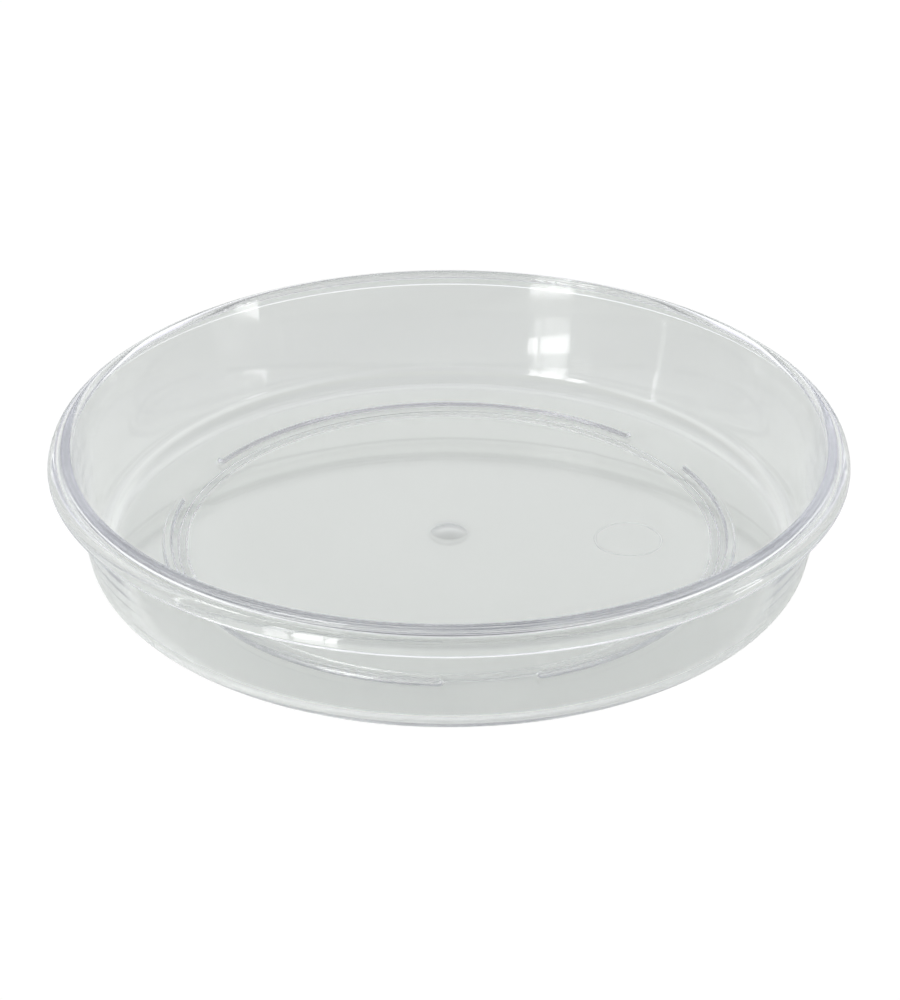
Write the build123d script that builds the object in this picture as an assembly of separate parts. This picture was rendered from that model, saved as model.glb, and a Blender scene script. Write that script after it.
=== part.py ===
from build123d import *
import os
from math import asin, atan2, cos, degrees, hypot, radians, sin, tan

# A clear plant saucer, moulded in one piece. Millimetres. It stands on z = 0 and its axis is Z,
# with the origin at the centre of the ring that it stands on. The front of the photograph is -Y.

# Overall sizes
lip_diameter = 200.0
rim_height = 33.2

# Round bead along the top of the wall, set in from the edge of the lip
bead_width = 2.84
bead_inset = 4.7

# Lip that turns out and down from just under the bead, hollow underneath; its skirt spreads a little
lip_shoulder_drop = 0.8
lip_drop = 5.9
lip_flare = 1.3
lip_roll_radius = 4.5
lip_thickness = 1.5
lip_edge_radius = 0.55
lip_groove_radius = 1.0

# Outside of the wall: its root under the lip, and its foot at the rounded bottom corner
wall_root_outset = 0.6
wall_root_radius = 0.6
base_inset = 9.7
outer_corner_radius = 6.4

# Inside of the wall, and the floor, which the foot ring holds off the table
wall_foot_thickness = 2.7
inner_corner_radius = 4.6
floor_lift = 0.8
floor_thickness = 2.4

# Foot ring under the floor
foot_inset = 22.45
foot_width = 2.1
foot_root_radius = 0.25
foot_edge_radius = 0.35

# Arc ribs on the floor, just outside the foot ring, which hold the pot out of the water
rib_count = 3
rib_outset = 3.75
rib_width = 2.8
rib_crown_width = 1.2
rib_height = 0.9
rib_edge_radius = 0.35
rib_gap_degrees = 17.5
first_gap_degrees = 37.8

# Gate mark at the centre: a low dome on the floor, with the same hollow under it
gate_diameter = 9.4
gate_height = 0.4

# Bare ring mark that an insert of the mould leaves on the underside
mark_diameter = 17.5
mark_line_width = 0.6
mark_depth = 0.15
mark_x = 45.6
mark_y = -3.0

lip_radius = lip_diameter / 2
floor_top = floor_lift + floor_thickness
shoulder_top = rim_height - lip_shoulder_drop
bead_radius = bead_width / 2
bead_r = lip_radius - bead_inset
bead_z = rim_height - bead_radius
base_r = lip_radius - base_inset
floor_r = base_r - wall_foot_thickness
foot_r = base_r - foot_inset
rib_r = foot_r + rib_outset


def wall_touch_point():
    """Point (r, z) where the straight inner face of the wall runs smoothly into the bead."""
    across = bead_r - floor_r
    up = bead_z - floor_top
    slant = atan2(up, across) + asin(bead_radius / hypot(across, up))
    return (bead_r - bead_radius * sin(slant), bead_z + bead_radius * cos(slant))


def dish():
    """The turned body: floor, wall, bead, hollow lip and foot ring."""
    lip_bottom = rim_height - lip_drop
    flare = atan2(lip_flare, shoulder_top - lip_bottom)
    # Rounding the skirt's outer edge trims it, so the sharp corner stands out by as much
    skirt_r = lip_radius + lip_edge_radius * (tan(flare) + 1 / cos(flare) - 1)
    skirt_inside = skirt_r - lip_thickness
    groove_top = shoulder_top - lip_thickness
    foot_inside = foot_r - foot_width / 2
    foot_outside = foot_r + foot_width / 2
    # Each corner is (r, z, fillet radius), from the centre of the floor round to the centre of the underside
    corners = [
        (floor_r, floor_top, inner_corner_radius),
        (*wall_touch_point(), 0),
        (bead_r, shoulder_top, 0),
        (skirt_r - lip_flare, shoulder_top, lip_roll_radius),
        (skirt_r, lip_bottom, lip_edge_radius),
        (skirt_inside, lip_bottom, lip_edge_radius),
        (skirt_inside - lip_flare, groove_top, lip_groove_radius),
        (bead_r + wall_root_outset, groove_top, wall_root_radius),
        (base_r, floor_lift, outer_corner_radius),
        (foot_outside, floor_lift, foot_root_radius),
        (foot_outside, 0, foot_edge_radius),
        (foot_inside, 0, foot_edge_radius),
        (foot_inside, floor_lift, foot_root_radius),
    ]
    points = [(0, floor_top)] + [(r, z) for r, z, fillet_radius in corners] + [(0, floor_lift)]
    edge = FilletPolyline(*points, radius=[fillet_radius for r, z, fillet_radius in corners])
    section = make_face(edge + Line((0, floor_lift), (0, floor_top)))
    section = section + Pos(bead_r, bead_z) * Circle(bead_radius)
    return revolve(Plane.XZ * section, axis=Axis.Z)


def rib_half_section():
    """Half of a rib's section, from its middle line outwards, rooted halfway down the floor."""
    rib_root = floor_top - floor_thickness / 2
    edge = FilletPolyline(
        (0, rib_root),
        (rib_width / 2, rib_root),
        (rib_width / 2, floor_top),
        (rib_crown_width / 2, floor_top + rib_height),
        (0, floor_top + rib_height),
        radius=[0, 0, rib_edge_radius],
    )
    return make_face(edge + Line((0, floor_top + rib_height), (0, rib_root)))


def rib(start_degrees, sweep_degrees):
    """One arc rib with its rounded ends."""
    half = Plane.XZ * rib_half_section()
    whole = Pos(rib_r, 0, 0) * (half + mirror(half, Plane.YZ))
    arc = Rot(0, 0, start_degrees) * revolve(whole, axis=Axis.Z, revolution_arc=sweep_degrees)
    cap = revolve(half, axis=Axis.Z)
    for angle in (start_degrees, start_degrees + sweep_degrees):
        arc += Pos(rib_r * cos(radians(angle)), rib_r * sin(radians(angle)), 0) * cap
    return arc


def gate_cap(height_above):
    """Low dome of the gate mark, with its rim at the given height."""
    edge = Line((0, height_above), (gate_diameter / 2, height_above))
    ball_radius = ((gate_diameter / 2) ** 2 + gate_height ** 2) / (2 * gate_height)
    edge += RadiusArc((gate_diameter / 2, height_above), (0, height_above + gate_height), -ball_radius)
    edge += Line((0, height_above + gate_height), (0, height_above))
    return revolve(Plane.XZ * make_face(edge), axis=Axis.Z)


def ring_mark():
    """Thin ring that is cut into the underside of the floor."""
    ring = Circle(mark_diameter / 2) - Circle(mark_diameter / 2 - mark_line_width)
    return Pos(mark_x, mark_y, floor_lift) * extrude(ring, mark_depth)


def saucer():
    """The whole saucer, which is one moulding."""
    body = dish()
    step = 360 / rib_count
    # The rounded ends reach past the swept arc by half the rib's width
    end_degrees = degrees(atan2(rib_width / 2, rib_r))
    sweep = step - rib_gap_degrees - 2 * end_degrees
    for number in range(rib_count):
        body += rib(first_gap_degrees + rib_gap_degrees / 2 + end_degrees + number * step, sweep)
    body += gate_cap(floor_top)
    body -= gate_cap(floor_lift)
    body -= ring_mark()
    return body


os.makedirs("parts", exist_ok=True)
export_step(saucer(), "parts/saucer.step")
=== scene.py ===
import math

import bpy
import numpy as np
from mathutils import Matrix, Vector
from mathutils.geometry import delaunay_2d_cdt


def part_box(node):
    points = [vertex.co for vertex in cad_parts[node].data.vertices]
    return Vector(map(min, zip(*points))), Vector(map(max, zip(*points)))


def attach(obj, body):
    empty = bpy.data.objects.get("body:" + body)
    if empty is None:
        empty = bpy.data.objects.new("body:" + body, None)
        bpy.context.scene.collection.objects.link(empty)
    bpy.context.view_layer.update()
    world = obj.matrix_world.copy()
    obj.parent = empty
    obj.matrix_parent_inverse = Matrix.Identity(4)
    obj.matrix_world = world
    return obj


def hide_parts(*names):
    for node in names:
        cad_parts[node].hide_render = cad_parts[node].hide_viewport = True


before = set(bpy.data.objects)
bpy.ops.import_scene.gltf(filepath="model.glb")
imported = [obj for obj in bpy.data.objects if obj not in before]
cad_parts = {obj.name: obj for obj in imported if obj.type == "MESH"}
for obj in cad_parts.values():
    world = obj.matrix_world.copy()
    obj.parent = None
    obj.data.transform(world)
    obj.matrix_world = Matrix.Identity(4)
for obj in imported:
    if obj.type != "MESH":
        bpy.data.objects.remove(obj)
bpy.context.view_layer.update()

nodeLow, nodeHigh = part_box("saucer")
mm = 0.001

# everything below is in millimetres until it goes into a mesh
dishSizes = {
    "lipRadius": (nodeHigh.x - nodeLow.x) / 2 / mm,
    "rimHeight": nodeHigh.z / mm,
    "beadWidth": 2.84,
    "beadInset": 4.7,
    "lipShoulderDrop": 0.8,
    "lipDrop": 5.9,
    "lipFlare": 1.3,
    "lipRollRadius": 4.5,
    "lipThickness": 1.5,
    "lipEdgeRadius": 0.55,
    "lipGrooveRadius": 1.0,
    "wallRootOutset": 0.6,
    "wallRootRadius": 0.6,
    "baseInset": 9.7,
    "outerCornerRadius": 6.4,
    "wallFootThickness": 2.7,
    "innerCornerRadius": 4.6,
    "floorLift": 0.8,
    "floorThickness": 2.4,
    "footInset": 22.45,
    "footWidth": 2.1,
    "footRootRadius": 0.25,
    "footEdgeRadius": 0.35,
    "arcSag": 0.004,            # how far a step of an outline's round stretch may cut inside it
    "shortestStep": 0.0001,     # shorter steps of the outline are left out
    "turnStep": 0.8,            # degrees of the turn in one step
}

ribSizes = {
    "count": 3,
    "outset": 3.75,             # from the foot ring's middle line
    "width": 2.8,
    "crownWidth": 1.2,
    "height": 0.9,
    "gapDegrees": 17.5,
    "firstGapDegrees": 37.8,
    "rings": 21,                # rings of points across one rib
    "endStep": 0.3,             # degrees between points at a rib's end
    "slopeReach": 0.01,         # the slope is taken from heights this far to each side
}

markSizes = {
    "gateDiameter": 9.4,
    "gateHeight": 0.4,
    "gateRings": 9,
    "floorRings": (6, 9, 14, 21, 30, 42, 56),   # radii of the flat floor's rings of points
    "ringDiameter": 17.5,
    "ringLine": 0.6,
    "ringSlope": 0.08,
    "ringDepth": 0.15,
    "ringPoints": 96,
    "ringX": 45.6,
    "ringY": -3.0,
    "weldReach": 0.000001,      # points of the underside closer than this count as one
}

beadRadius = dishSizes["beadWidth"] / 2
beadR = dishSizes["lipRadius"] - dishSizes["beadInset"]
beadZ = dishSizes["rimHeight"] - beadRadius
shoulderZ = dishSizes["rimHeight"] - dishSizes["lipShoulderDrop"]
floorTop = dishSizes["floorLift"] + dishSizes["floorThickness"]
baseR = dishSizes["lipRadius"] - dishSizes["baseInset"]
floorR = baseR - dishSizes["wallFootThickness"]
footR = baseR - dishSizes["footInset"]
ribR = footR + ribSizes["outset"]
gateR = markSizes["gateDiameter"] / 2
gateBall = (gateR ** 2 + markSizes["gateHeight"] ** 2) / (2 * markSizes["gateHeight"])


def arcRun(centreR, centreZ, radius, startAngle, endAngle, outward):
    # stations (r, z, normal r, normal z) along an arc, angles in radians
    # outward is 1 on a hump and -1 in a hollow
    stepTurn = 2 * math.acos(1 - dishSizes["arcSag"] / radius)
    steps = max(2, math.ceil(abs(endAngle - startAngle) / stepTurn))
    run = []
    for step in range(steps + 1):
        angle = startAngle + (endAngle - startAngle) * step / steps
        across, up = math.cos(angle), math.sin(angle)
        run.append((centreR + radius * across, centreZ + radius * up, outward * across, outward * up))
    return run


def lineRun(start, end):
    # the outline keeps the plastic on its right, so the normal points to its left
    across, up = end[0] - start[0], end[1] - start[1]
    length = math.hypot(across, up)
    normal = (-up / length, across / length)
    return [(*start, *normal), (*end, *normal)]


def cornerRuns(corners):
    # straight runs joined by fillets through (r, z, fillet radius); the two end points have no fillet
    runs = []
    last = corners[0][:2]
    for index in range(1, len(corners) - 1):
        here = np.array(corners[index][:2])
        toLast = np.array(corners[index - 1][:2]) - here
        toNext = np.array(corners[index + 1][:2]) - here
        toLast = toLast / np.hypot(*toLast)
        toNext = toNext / np.hypot(*toNext)
        radius = corners[index][2]
        if radius == 0:
            runs.append(lineRun(last, tuple(here)))
            last = tuple(here)
            continue
        half = math.acos(float(toLast @ toNext)) / 2
        start = here + toLast * radius / math.tan(half)
        end = here + toNext * radius / math.tan(half)
        middle = toLast + toNext
        centre = here + middle / np.hypot(*middle) * radius / math.sin(half)
        startAngle = math.atan2(*(start - centre)[::-1])
        turn = math.atan2(*(end - centre)[::-1]) - startAngle
        turn = (turn + math.pi) % (2 * math.pi) - math.pi
        runs.append(lineRun(last, tuple(start)))
        runs.append(arcRun(*centre, radius, startAngle, startAngle + turn, -1 if turn > 0 else 1))
        last = tuple(end)
    runs.append(lineRun(last, corners[-1][:2]))
    return runs


def wallTouchPoint():
    # where the straight inner face of the wall runs smoothly into the bead, and the slant of that face
    across, up = beadR - floorR, beadZ - floorTop
    slant = math.atan2(up, across) + math.asin(beadRadius / math.hypot(across, up))
    return (beadR - beadRadius * math.sin(slant), beadZ + beadRadius * math.cos(slant)), slant


def beadLipMeeting(rollR, rollZ):
    # where the bead's circle crosses the lip's quarter round, on the outer side
    across, up = rollR - beadR, rollZ - beadZ
    apart = math.hypot(across, up)
    along = (beadRadius ** 2 - dishSizes["lipRollRadius"] ** 2 + apart ** 2) / (2 * apart)
    aside = math.sqrt(beadRadius ** 2 - along ** 2)
    meetR = beadR + (along * across - aside * up) / apart
    meetZ = beadZ + (along * up + aside * across) / apart
    return meetR, meetZ


def dishOutline():
    # from the edge of the ribs' zone on the floor, over the rim and the lip, to the inside of the foot ring
    ribEdge = ribR + ribSizes["width"] / 2
    touch, slant = wallTouchPoint()
    lipBottom = dishSizes["rimHeight"] - dishSizes["lipDrop"]
    flare = math.atan2(dishSizes["lipFlare"], shoulderZ - lipBottom)
    # rounding the skirt's outer edge trims it, so the sharp corner stands out by as much
    trim = dishSizes["lipEdgeRadius"] * (math.tan(flare) + 1 / math.cos(flare) - 1)
    skirtR = dishSizes["lipRadius"] + trim
    roll = dishSizes["lipRollRadius"]
    rollR = skirtR - dishSizes["lipFlare"] - roll * math.tan((math.pi / 2 - flare) / 2)
    rollZ = shoulderZ - roll
    rollEnd = (rollR + roll * math.cos(flare), rollZ + roll * math.sin(flare))
    meeting = beadLipMeeting(rollR, rollZ)
    skirtInside = skirtR - dishSizes["lipThickness"]
    grooveTop = shoulderZ - dishSizes["lipThickness"]
    footOutside = footR + dishSizes["footWidth"] / 2
    footInside = footR - dishSizes["footWidth"] / 2
    runs = cornerRuns([(ribEdge, floorTop), (floorR, floorTop, dishSizes["innerCornerRadius"]), touch])
    beadEnd = math.atan2(meeting[1] - beadZ, meeting[0] - beadR)
    runs.append(arcRun(beadR, beadZ, beadRadius, slant + math.pi / 2, beadEnd, 1))
    rollStart = math.atan2(meeting[1] - rollZ, meeting[0] - rollR)
    runs.append(arcRun(rollR, rollZ, roll, rollStart, flare, 1))
    runs += cornerRuns([
        rollEnd,
        (skirtR, lipBottom, dishSizes["lipEdgeRadius"]),
        (skirtInside, lipBottom, dishSizes["lipEdgeRadius"]),
        (skirtInside - dishSizes["lipFlare"], grooveTop, dishSizes["lipGrooveRadius"]),
        (beadR + dishSizes["wallRootOutset"], grooveTop, dishSizes["wallRootRadius"]),
        (baseR, dishSizes["floorLift"], dishSizes["outerCornerRadius"]),
        (footOutside, dishSizes["floorLift"], dishSizes["footRootRadius"]),
        (footOutside, 0, dishSizes["footEdgeRadius"]),
        (footInside, 0, dishSizes["footEdgeRadius"]),
        (footInside, dishSizes["floorLift"], dishSizes["footRootRadius"]),
        (footInside - 2 * dishSizes["footRootRadius"], dishSizes["floorLift"]),
    ])
    return runs


def turnAngles():
    # even steps round the axis, and closer ones in their place where the ribs end
    reach = math.degrees(ribSizes["width"] / ribR)
    ends = [angle for arc in ribArcs() for angle in arc]
    angles = []
    for angle in np.arange(0, 360, dishSizes["turnStep"]):
        if all(abs((angle - end + 180) % 360 - 180) > reach + dishSizes["turnStep"] / 4 for end in ends):
            angles.append(angle)
    for end in ends:
        angles += list(np.arange(end - reach, end + reach, ribSizes["endStep"]) % 360)
    return np.radians(sorted(angles))


def ribArcs():
    # middle-line angles at which each rib starts and ends, in degrees
    step = 360 / ribSizes["count"]
    endRound = math.degrees(ribSizes["width"] / 2 / ribR)
    first = ribSizes["firstGapDegrees"] + ribSizes["gapDegrees"] / 2 + endRound
    sweep = step - ribSizes["gapDegrees"] - 2 * endRound
    return [(first + number * step, first + number * step + sweep) for number in range(ribSizes["count"])]


def ribHeight(x, y):
    # height of the ribs above the floor at points (x, y): a crown with an even, soft slope on each side
    r, angle = np.hypot(x, y), np.degrees(np.arctan2(y, x))
    away = np.full(r.shape, np.inf)
    for start, end in ribArcs():
        inArc = (angle - start) % 360 <= end - start
        endTurns = (math.radians(start), math.radians(end))
        toEnds = [np.hypot(x - ribR * math.cos(turn), y - ribR * math.sin(turn)) for turn in endTurns]
        away = np.minimum(away, np.where(inArc, np.abs(r - ribR), np.minimum(*toEnds)))
    crown, foot = ribSizes["crownWidth"] / 2, ribSizes["width"] / 2
    slope = np.clip((foot - away) / (foot - crown), 0, 1)
    return ribSizes["height"] * slope * slope * (3 - 2 * slope)


class MeshParts:
    # points, faces and each face corner's normal, gathered for one closed mesh
    def __init__(self):
        self.points, self.faces, self.normals = [], [], []

    def addPoints(self, points):
        first = len(self.points)
        self.points += [tuple(p) for p in points]
        return list(range(first, first + len(points)))

    def band(self, ringA, ringB, normalsA, normalsB):
        # quads between two rings, or triangles where one of them is a single point
        count = max(len(ringA), len(ringB))
        for k in range(count):
            n = (k + 1) % count
            if len(ringA) == 1:
                self.faces.append((ringA[0], ringB[k], ringB[n]))
                self.normals.append((normalsA[0], normalsB[k], normalsB[n]))
            elif len(ringB) == 1:
                self.faces.append((ringA[k], ringB[0], ringA[n]))
                self.normals.append((normalsA[k], normalsB[0], normalsA[n]))
            else:
                self.faces.append((ringA[k], ringB[k], ringB[n], ringA[n]))
                self.normals.append((normalsA[k], normalsB[k], normalsB[n], normalsA[n]))


def ringPoints(turns, r, z):
    return [(r * math.cos(t), r * math.sin(t), z) for t in turns]


def ringNormals(turns, across, up):
    return [(across * math.cos(t), across * math.sin(t), up) for t in turns]


def floorSide(parts, turns):
    # gate dome, floor and ribs, from the axis out to the edge of the ribs' zone; returns the last ring
    last, lastNormals = parts.addPoints([(0, 0, floorTop + markSizes["gateHeight"])]), [(0, 0, 1)]
    rim = math.asin(gateR / gateBall)
    for step in range(1, markSizes["gateRings"] + 1):
        lean = rim * step / markSizes["gateRings"]
        z = floorTop + markSizes["gateHeight"] - gateBall * (1 - math.cos(lean))
        here = parts.addPoints(ringPoints(turns, gateBall * math.sin(lean), z))
        hereNormals = ringNormals(turns, math.sin(lean), math.cos(lean))
        parts.band(last, here, lastNormals, hereNormals)
        last, lastNormals = here, hereNormals
    lastNormals = [(0, 0, 1)] * len(turns)
    for r in markSizes["floorRings"]:
        here = parts.addPoints(ringPoints(turns, r, floorTop))
        parts.band(last, here, lastNormals, lastNormals)
        last = here
    reach, halfWidth = ribSizes["slopeReach"], ribSizes["width"] / 2
    for r in np.linspace(ribR - halfWidth, ribR + halfWidth, ribSizes["rings"]):
        x, y = r * np.cos(turns), r * np.sin(turns)
        height = ribHeight(x, y)
        slopeX = (ribHeight(x + reach, y) - ribHeight(x - reach, y)) / (2 * reach)
        slopeY = (ribHeight(x, y + reach) - ribHeight(x, y - reach)) / (2 * reach)
        length = np.sqrt(slopeX ** 2 + slopeY ** 2 + 1)
        here = parts.addPoints(np.stack([x, y, floorTop + height], 1).tolist())
        hereNormals = np.stack([-slopeX / length, -slopeY / length, 1 / length], 1).tolist()
        parts.band(last, here, lastNormals, hereNormals)
        last, lastNormals = here, hereNormals
    return last


def underside(parts, turns, outerRing):
    # flat underside with the hollow gate mark and the bare ring mark
    lift = dishSizes["floorLift"]
    ringTurns = np.linspace(0, 2 * math.pi, markSizes["ringPoints"], endpoint=False)
    half = markSizes["ringDiameter"] / 2
    # the ring mark's groove (r, z), from its outer edge inwards
    marks = [
        (half, lift),
        (half - markSizes["ringSlope"], lift + markSizes["ringDepth"]),
        (half - markSizes["ringLine"] + markSizes["ringSlope"], lift + markSizes["ringDepth"]),
        (half - markSizes["ringLine"], lift),
    ]
    gateRing = parts.addPoints(ringPoints(turns, gateR, lift))
    loops = [outerRing, gateRing]
    middleX, middleY = markSizes["ringX"], markSizes["ringY"]
    for r, z in marks:
        ring = [(x + middleX, y + middleY, z) for x, y, z in ringPoints(ringTurns, r, z)]
        loops.append(parts.addPoints(ring))
    index = [i for loop in loops for i in loop]
    flatPoints = [Vector(parts.points[i][:2]) for i in index]
    edges, start = [], 0
    for loop in loops:
        edges += [(start + k, start + (k + 1) % len(loop)) for k in range(len(loop))]
        start += len(loop)
    made = delaunay_2d_cdt(flatPoints, edges, [], 0, markSizes["weldReach"], True)
    triangles, sources = made[2], made[3]
    madeIndex = [index[ids[0]] for ids in sources]
    gateSet = set(gateRing)
    for triangle in triangles:
        corners = [madeIndex[i] for i in triangle]
        if gateSet.issuperset(corners):
            continue
        points = np.array([parts.points[i] for i in corners])
        normal = np.cross(points[1] - points[0], points[2] - points[0])
        if normal[2] > 0:
            corners, normal = corners[::-1], -normal
        parts.faces.append(tuple(corners))
        parts.normals.append((tuple(normal / np.linalg.norm(normal)),) * 3)
    rim = math.asin(gateR / gateBall)
    last, lastNormals = gateRing, ringNormals(turns, -math.sin(rim), -math.cos(rim))
    for step in range(markSizes["gateRings"] - 1, -1, -1):
        lean = rim * step / markSizes["gateRings"]
        z = lift + markSizes["gateHeight"] - gateBall * (1 - math.cos(lean))
        here = parts.addPoints(ringPoints(turns, gateBall * math.sin(lean), z) if step else [(0, 0, z)])
        hereNormals = ringNormals(turns, -math.sin(lean), -math.cos(lean)) if step else [(0, 0, -1)]
        parts.band(last, here, lastNormals, hereNormals)
        last, lastNormals = here, hereNormals


def makeSaucer(plastic):
    parts = MeshParts()
    turns = turnAngles()
    last = floorSide(parts, turns)
    for run in dishOutline():
        for before, after in zip(run, run[1:]):
            if math.dist(before[:2], after[:2]) < dishSizes["shortestStep"]:
                continue
            here = parts.addPoints(ringPoints(turns, after[0], after[1]))
            parts.band(last, here, ringNormals(turns, *before[2:]), ringNormals(turns, *after[2:]))
            last = here
    underside(parts, turns, last)
    mesh = bpy.data.meshes.new("saucer_moulding")
    mesh.from_pydata([tuple(c * mm for c in p) for p in parts.points], [], parts.faces)
    mesh.update()
    mesh.polygons.foreach_set("use_smooth", [True] * len(mesh.polygons))
    normals = [normal for face in parts.normals for normal in face]
    counts = (len(mesh.vertices), "points,", len(mesh.polygons), "faces,", len(normals), "corner normals")
    print("saucer mesh:", *counts)
    mesh.normals_split_custom_set(normals)
    mesh.materials.append(plastic)
    saucer = bpy.data.objects.new("saucer_moulding", mesh)
    bpy.context.scene.collection.objects.link(saucer)
    return saucer


clearPlastic = {
    "tint": (0.985, 0.99, 0.983),
    "ior": 1.59,
    "roughLow": 0.03,
    "roughHigh": 0.05,
    # rings that stacking, the table and the pot rub duller, and the dull gate mark at the centre:
    # radius, height, reach (mm), added roughness
    "rubbedRings": [
        (beadR, beadZ, 1.6, 0.13),
        (footR, 0.0, 1.6, 0.22),
        (ribR, floorTop + ribSizes["height"], 1.5, 0.10),
        (0.0, floorTop, 1.5 * gateR, 0.15),
    ],
    "rubbedCore": 0.7,          # share of the reach that has all of the added roughness
    "bodyColor": (0.40, 0.41, 0.49),
    "bodyDensity": 4.7,         # how much of the light is lost in a metre of plastic
    "waveScale": 45.0,
    "waveDetail": 2,
    "waveHeight": 0.00002,      # metres
}


def makeClearPlastic():
    material = bpy.data.materials.new("clear_moulded_plastic")
    material.use_nodes = True
    nodes, links = material.node_tree.nodes, material.node_tree.links
    shader = nodes["Principled BSDF"]
    shader.inputs["Base Color"].default_value = (*clearPlastic["tint"], 1)
    shader.inputs["IOR"].default_value = clearPlastic["ior"]
    shader.inputs["Transmission Weight"].default_value = 1
    place = nodes.new("ShaderNodeTexCoord")
    # slow waves left by the cooling of the moulding
    wave = nodes.new("ShaderNodeTexNoise")
    wave.inputs["Scale"].default_value = clearPlastic["waveScale"]
    wave.inputs["Detail"].default_value = clearPlastic["waveDetail"]
    links.new(place.outputs["Object"], wave.inputs["Vector"])
    bump = nodes.new("ShaderNodeBump")
    bump.inputs["Strength"].default_value = 1
    bump.inputs["Distance"].default_value = clearPlastic["waveHeight"]
    links.new(wave.outputs["Fac"], bump.inputs["Height"])
    links.new(bump.outputs["Normal"], shader.inputs["Normal"])
    rough = nodes.new("ShaderNodeMapRange")
    rough.inputs["To Min"].default_value = clearPlastic["roughLow"]
    rough.inputs["To Max"].default_value = clearPlastic["roughHigh"]
    links.new(wave.outputs["Fac"], rough.inputs["Value"])
    # the point's radius and height, side by side
    height = nodes.new("ShaderNodeSeparateXYZ")
    links.new(place.outputs["Object"], height.inputs["Vector"])
    flat = nodes.new("ShaderNodeVectorMath")
    flat.operation = "MULTIPLY"
    flat.inputs[1].default_value = (1, 1, 0)
    links.new(place.outputs["Object"], flat.inputs[0])
    reach = nodes.new("ShaderNodeVectorMath")
    reach.operation = "LENGTH"
    links.new(flat.outputs["Vector"], reach.inputs[0])
    section = nodes.new("ShaderNodeCombineXYZ")
    links.new(reach.outputs["Value"], section.inputs["X"])
    links.new(height.outputs["Z"], section.inputs["Y"])
    total = rough.outputs["Result"]
    for r, z, size, extra in clearPlastic["rubbedRings"]:
        gap = nodes.new("ShaderNodeVectorMath")
        gap.operation = "DISTANCE"
        links.new(section.outputs["Vector"], gap.inputs[0])
        gap.inputs[1].default_value = (r * mm, z * mm, 0)
        fade = nodes.new("ShaderNodeMapRange")
        fade.interpolation_type = "SMOOTHSTEP"
        fade.inputs["From Min"].default_value = size * mm
        fade.inputs["From Max"].default_value = size * clearPlastic["rubbedCore"] * mm
        fade.inputs["To Max"].default_value = extra
        links.new(gap.outputs["Value"], fade.inputs["Value"])
        add = nodes.new("ShaderNodeMath")
        links.new(total, add.inputs[0])
        links.new(fade.outputs["Result"], add.inputs[1])
        total = add.outputs["Value"]
    links.new(total, shader.inputs["Roughness"])
    # long ways through the plastic, as along the wall or the bead, come out a little darker and bluer
    body = nodes.new("ShaderNodeVolumeAbsorption")
    body.inputs["Color"].default_value = (*clearPlastic["bodyColor"], 1)
    body.inputs["Density"].default_value = clearPlastic["bodyDensity"]
    links.new(body.outputs["Volume"], nodes["Material Output"].inputs["Volume"])
    return material


plastic = makeClearPlastic()
saucer = makeSaucer(plastic)
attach(saucer, "root")
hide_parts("saucer")
print("saucer done")

studio = {
    "floorSize": 6.0,            # metres
    "floorColor": (0.885, 0.895, 0.875),
    "floorRoughness": 0.9,
    "floorShine": 0.1,
    "floorGap": 0.02,            # millimetres under the foot ring, so that the two faces don't coincide
    "floorWhite": 1.02,          # how bright the floor is where the camera sees it past the saucer
    # the room's light at three heights, each as (front, sides, back), and straight overhead
    "roomLow": ((0.70, 0.69, 0.75), (0.80, 0.80, 0.85), (0.90, 0.89, 1.0)),
    "roomMid": ((0.50, 0.49, 0.56), (1.80, 1.83, 1.82), (1.20, 1.22, 1.22)),
    "roomHigh": ((0.8, 0.83, 0.75), (0.60, 0.61, 0.58), (0.08, 0.08, 0.12)),
    "roomTop": (0.55, 0.55, 0.59),
    "roomSteps": (0.21, 0.57, 0.87),   # sines of the heights where one band gives way to the next
    "roomBlend": 0.06,
    # name, distance in metres, azimuth and width in degrees, bottom and top in metres, brightness
    "windows": [
        ("leftWindowBar", 1.2, -119.4, 2.7, 0.0, 0.70, 4.5),
        ("leftWindowPane", 1.2, -125.5, 8.1, 0.0, 0.70, 4.5),
        ("leftWindowLow", 1.2, -134.4, 6.4, 0.17, 0.35, 4.5),
        ("leftWindowHigh", 1.2, -134.4, 6.4, 0.38, 0.70, 4.5),
        ("leftCurtainGap", 1.2, -163.0, 1.2, 0.0, 0.48, 4.5),
        # low reflectors close by, which give the bright ends of the reflections on the wall
        ("rightReflector", 0.32, -16.5, 9.0, 0.0, 0.022, 6.0),
        ("leftReflectorBar", 0.15, -124.4, 4.0, 0.0, 0.009, 6.0),
        ("leftReflectorPane", 0.15, -133.6, 12.0, 0.0, 0.009, 6.0),
    ],
}


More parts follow.
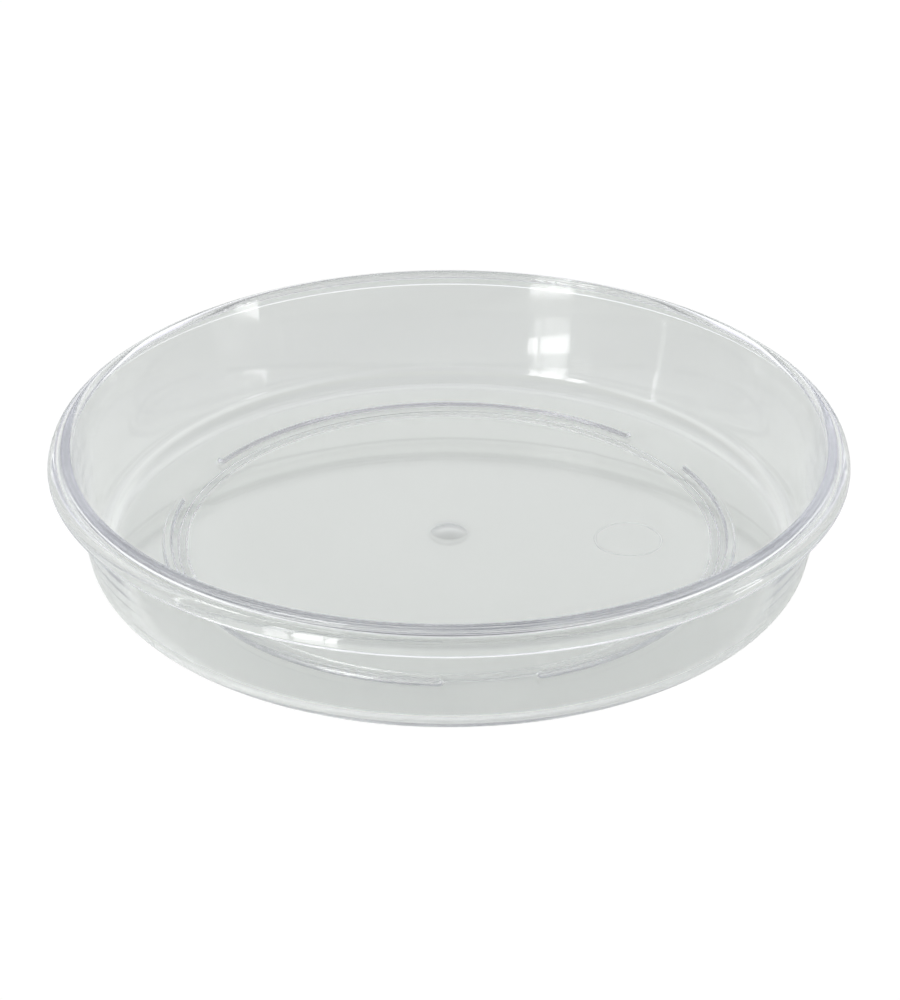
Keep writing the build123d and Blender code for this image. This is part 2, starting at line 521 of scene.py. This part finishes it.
def makeFloor():
    half = studio["floorSize"] / 2
    mesh = bpy.data.meshes.new("floor")
    corners = [(-half, -half, 0), (half, -half, 0), (half, half, 0), (-half, half, 0)]
    mesh.from_pydata(corners, [], [(0, 1, 2, 3)])
    floor = bpy.data.objects.new("floor", mesh)
    floor.location.z = -studio["floorGap"] * mm
    bpy.context.scene.collection.objects.link(floor)
    material = bpy.data.materials.new("pale_floor")
    material.use_nodes = True
    nodes, links = material.node_tree.nodes, material.node_tree.links
    paint = nodes["Principled BSDF"]
    paint.inputs["Base Color"].default_value = (*studio["floorColor"], 1)
    paint.inputs["Roughness"].default_value = studio["floorRoughness"]
    paint.inputs["Specular IOR Level"].default_value = studio["floorShine"]
    # the photograph's backdrop is burnt out to white where nothing stands in front of it
    white = nodes.new("ShaderNodeEmission")
    white.inputs["Strength"].default_value = studio["floorWhite"]
    path = nodes.new("ShaderNodeLightPath")
    mix = nodes.new("ShaderNodeMixShader")
    links.new(path.outputs["Is Camera Ray"], mix.inputs["Fac"])
    links.new(paint.outputs["BSDF"], mix.inputs[1])
    links.new(white.outputs["Emission"], mix.inputs[2])
    links.new(mix.outputs["Shader"], nodes["Material Output"].inputs["Surface"])
    mesh.materials.append(material)


def makeWorld():
    world = bpy.data.worlds.new("studio")
    bpy.context.scene.world = world
    world.use_nodes = True
    nodes, links = world.node_tree.nodes, world.node_tree.links
    place = nodes.new("ShaderNodeTexCoord")
    split = nodes.new("ShaderNodeSeparateXYZ")
    links.new(place.outputs["Generated"], split.inputs["Vector"])
    # 0 at the front of the room and 1 at its back
    depth = nodes.new("ShaderNodeMapRange")
    depth.inputs["From Min"].default_value = -1
    links.new(split.outputs["Y"], depth.inputs["Value"])
    # 0 straight ahead and 1 at either side
    width = nodes.new("ShaderNodeMath")
    width.operation = "MULTIPLY"
    links.new(split.outputs["X"], width.inputs[0])
    links.new(split.outputs["X"], width.inputs[1])

    def mixed(factor, first, second):
        # colour between two, each of them a colour or another node's output
        mix = nodes.new("ShaderNodeMix")
        mix.data_type = "RGBA"
        links.new(factor, mix.inputs["Factor"])
        for socket, color in ((mix.inputs[6], first), (mix.inputs[7], second)):
            if isinstance(color, tuple):
                socket.default_value = (*color, 1)
            else:
                links.new(color, socket)
        return mix.outputs[2]

    bands = []
    for name in ("roomLow", "roomMid", "roomHigh"):
        front, sides, back = studio[name]
        frontToBack = mixed(depth.outputs["Result"], front, back)
        bands.append(mixed(width.outputs[0], frontToBack, sides))
    bands.append(studio["roomTop"])
    room = bands[0]
    for step, band in zip(studio["roomSteps"], bands[1:]):
        rise = nodes.new("ShaderNodeMapRange")
        rise.interpolation_type = "SMOOTHSTEP"
        rise.inputs["From Min"].default_value = step - studio["roomBlend"]
        rise.inputs["From Max"].default_value = step + studio["roomBlend"]
        links.new(split.outputs["Z"], rise.inputs["Value"])
        room = mixed(rise.outputs["Result"], room, band)
    links.new(room, nodes["Background"].inputs["Color"])


def makeWindow(name, distance, azimuth, width, bottom, top, brightness):
    # upright lamp that faces the saucer's axis
    across, up = 2 * distance * math.tan(math.radians(width / 2)), top - bottom
    data = bpy.data.lights.new(name, "AREA")
    data.shape = "RECTANGLE"
    data.size, data.size_y = across, up
    data.energy = brightness * math.pi * across * up
    lamp = bpy.data.objects.new(name, data)
    turn = math.radians(azimuth)
    out = Vector((math.cos(turn), math.sin(turn), 0))
    lamp.location = out * distance + Vector((0, 0, (bottom + top) / 2))
    lamp.rotation_euler = (-out).to_track_quat("-Z", "Y").to_euler()
    bpy.context.scene.collection.objects.link(lamp)


cameraSetup = {
    "distance": 608.8,           # in front of the axis
    "height": 347.2,
    "aimHeight": 12.4,
    "lens": 98.57,
    "sensor": 36.0,
    "shiftX": 0.001,
    "shiftY": -0.001,
    "clipStart": 0.01,           # metres
}


def makeCamera():
    data = bpy.data.cameras.new("photoCamera")
    data.lens = cameraSetup["lens"]
    data.sensor_width = cameraSetup["sensor"]
    data.shift_x, data.shift_y = cameraSetup["shiftX"], cameraSetup["shiftY"]
    data.clip_start = cameraSetup["clipStart"]
    camera = bpy.data.objects.new("photoCamera", data)
    place = Vector((0, -cameraSetup["distance"], cameraSetup["height"])) * mm
    aim = Vector((0, 0, cameraSetup["aimHeight"] * mm))
    camera.location = place
    camera.rotation_euler = (aim - place).to_track_quat("-Z", "Y").to_euler()
    bpy.context.scene.collection.objects.link(camera)
    bpy.context.scene.camera = camera


renderSetup = {
    "bounces": 128,              # light runs round inside the wall and the bead many times
    "transparentBounces": 24,
    "glossBlur": 0,              # leaves the light that the plastic throws on the floor sharp
}


def setRender():
    scene = bpy.context.scene
    scene.view_settings.view_transform = "Standard"
    scene.cycles.max_bounces = renderSetup["bounces"]
    scene.cycles.glossy_bounces = renderSetup["bounces"]
    scene.cycles.transmission_bounces = renderSetup["bounces"]
    scene.cycles.transparent_max_bounces = renderSetup["transparentBounces"]
    scene.cycles.blur_glossy = renderSetup["glossBlur"]
    scene.cycles.use_denoising = True


makeFloor()
makeWorld()
for window in studio["windows"]:
    makeWindow(*window)
makeCamera()
setRender()
print("studio done")
